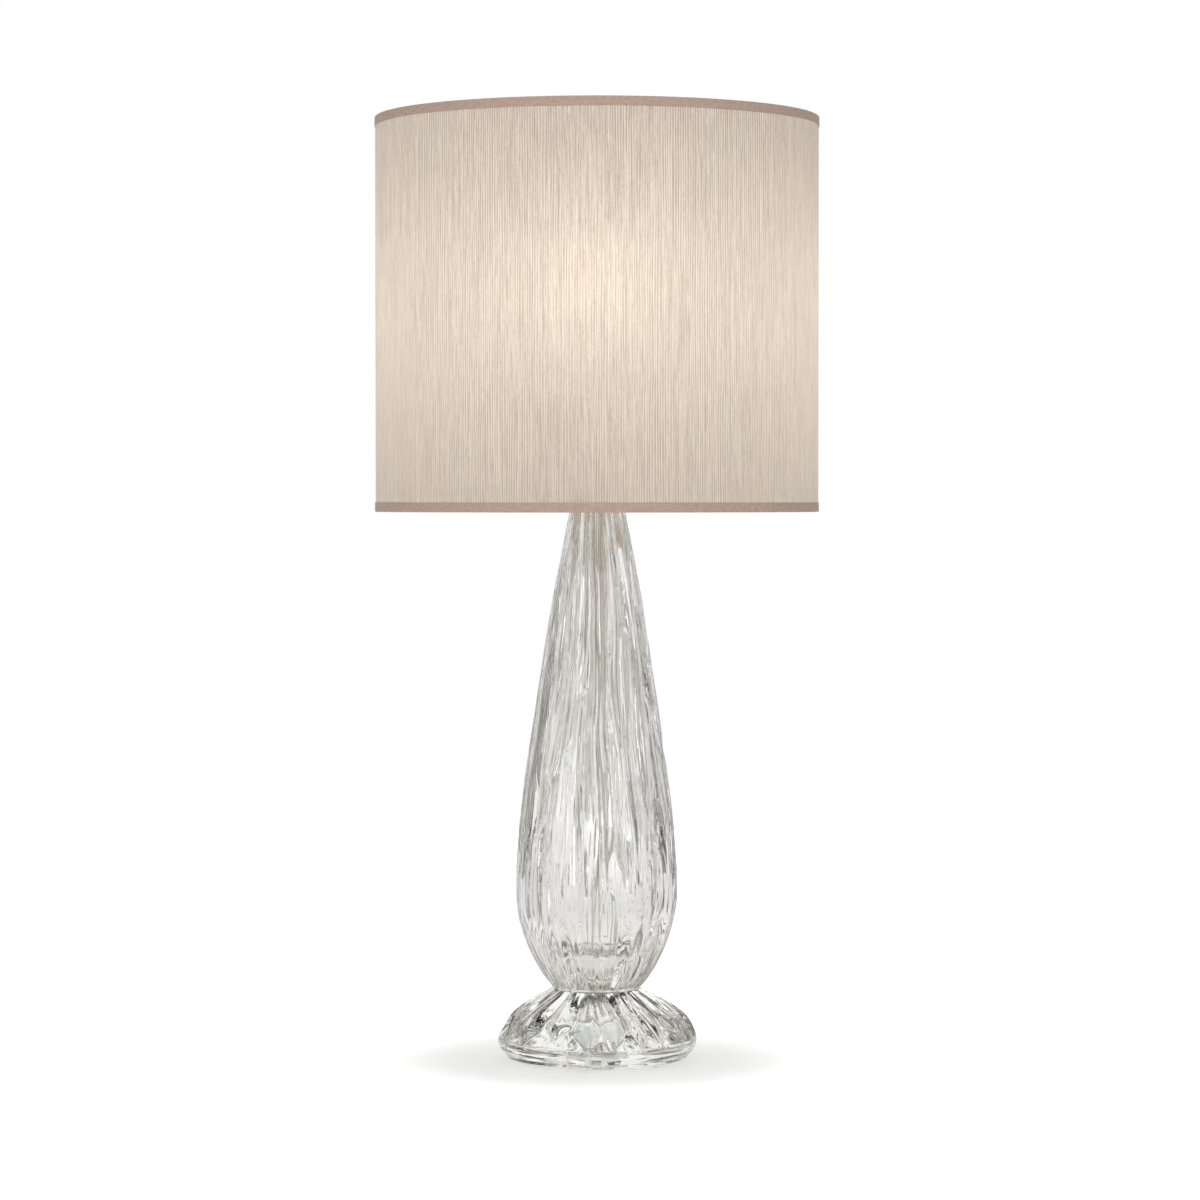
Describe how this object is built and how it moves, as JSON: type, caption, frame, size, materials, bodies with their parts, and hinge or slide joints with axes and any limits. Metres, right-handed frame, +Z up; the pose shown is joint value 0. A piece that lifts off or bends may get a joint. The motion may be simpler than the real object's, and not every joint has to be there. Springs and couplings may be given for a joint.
{
  "type": "table lamp",
  "caption": "Table lamp: ribbed clear-glass teardrop column on a bulging glass foot, drum shade hung on a wire harp, turn-knob lampholder, screw-in bulb and a finial.",
  "frame": {"origin": "on the table, under the middle of the foot", "axes": "+Z up along the rod; the front, where the switch knob points, faces -Y; +X is to its right"},
  "size_m": [0.3999, 0.4, 0.8625],
  "materials": {
    "clear_glass": "fire-polished",
    "frosted_glass": "frosted",
    "black_glass": "gloss",
    "polished_nickel": "polished",
    "satin_nickel": "satin",
    "zinc_steel": "zinc plated",
    "brass": "drawn",
    "aluminium": "rolled",
    "tin_solder": "cast",
    "clear_pad": "clear",
    "black_phenolic": "moulded",
    "insulating_fibre": "pressed fibre",
    "glowing_filament": "lit",
    "shade_cloth": "streaked weave",
    "trim_tape": "woven tape",
    "white_liner": "matt film",
    "white_wire": "white enamel"
  },
  "bodies": {
    "base": {"foot_pads": "clear_pad", "glass_foot": "clear_glass", "glass_column": "clear_glass", "centre_rod": "polished_nickel", "base_cushion": "clear_pad", "base_washer": "zinc_steel", "base_nut": "zinc_steel", "joint_gasket": "clear_pad", "neck_gasket": "clear_pad", "neck_cap": "polished_nickel", "neck_spacer": "polished_nickel", "check_ring": "polished_nickel", "harp_saddle": "satin_nickel", "lampholder_cap": "satin_nickel", "lampholder_set_screw": "zinc_steel", "lampholder_shell": "satin_nickel", "lampholder_liner": "insulating_fibre", "lampholder_core": "black_phenolic", "terminal_screws": "brass", "screw_shell": "brass", "centre_contact": "brass"},
    "switch": {"switch_shaft": "brass", "switch_knob": "black_phenolic"},
    "bulb_tip": {"bulb_contact": "tin_solder"},
    "bulb": {"bulb_insulator": "black_glass", "bulb_cap": "aluminium", "bulb_glass": "frosted_glass", "bulb_stem": "clear_glass", "bulb_filament": "glowing_filament"},
    "harp": {"harp": "satin_nickel"},
    "ferrule_left": {"ferrule_left": "polished_nickel"},
    "ferrule_right": {"ferrule_right": "polished_nickel"},
    "shade_seat": {"harp_stud": "satin_nickel"},
    "shade": {"shade_cloth": "shade_cloth", "shade_liner": "white_liner", "shade_top_trim": "trim_tape", "shade_bottom_trim": "trim_tape", "shade_top_ring": "white_wire", "shade_bottom_ring": "white_wire", "spider_washer": "white_wire", "spider_arm_1": "white_wire", "spider_arm_2": "white_wire", "spider_arm_3": "white_wire"},
    "finial_thread": {"finial_insert": "brass"},
    "finial": {"finial": "polished_nickel"}
  },
  "joints": [
    {"name": "switch_turn", "type": "hinge", "parent": "base", "child": "switch", "pos_m": [0, -0.031, 0.5895], "axis": [0, -1, 0], "continuous": true},
    {"name": "bulb_rise", "type": "slide", "parent": "base", "child": "bulb_tip", "axis": [0, 0, 1], "range_m": [0, 0.0218]},
    {"name": "bulb_turn", "type": "hinge", "parent": "bulb_tip", "child": "bulb", "pos_m": [0, 0, 0.62], "axis": [0, 0, 1], "range_deg": [0, 2160]},
    {"name": "harp_lift", "type": "slide", "parent": "base", "child": "harp", "axis": [0, 0, 1], "range_m": [0, 0.26]},
    {"name": "ferrule_left_lift", "type": "slide", "parent": "harp", "child": "ferrule_left", "axis": [0, 0, 1], "range_m": [0, 0.013]},
    {"name": "ferrule_right_lift", "type": "slide", "parent": "harp", "child": "ferrule_right", "axis": [0, 0, 1], "range_m": [0, 0.013]},
    {"name": "shade_swivel", "type": "hinge", "parent": "harp", "child": "shade_seat", "pos_m": [0, 0, 0.8304], "axis": [0, 0, 1], "continuous": true},
    {"name": "shade_lift", "type": "slide", "parent": "shade_seat", "child": "shade", "axis": [0, 0, 1], "range_m": [0, 0.38]},
    {"name": "finial_rise", "type": "slide", "parent": "shade", "child": "finial_thread", "axis": [0, 0, 1], "range_m": [0, 0.01225]},
    {"name": "finial_turn", "type": "hinge", "parent": "finial_thread", "child": "finial", "pos_m": [0, 0, 0.845], "axis": [0, 0, 1], "range_deg": [0, 4680]}
  ],
  "couplings": [
    {"joint": "bulb_rise", "follows": "bulb_turn", "m_per_rad": 0.00057757},
    {"joint": "finial_rise", "follows": "finial_turn", "m_per_rad": 0.00014972}
  ]
}
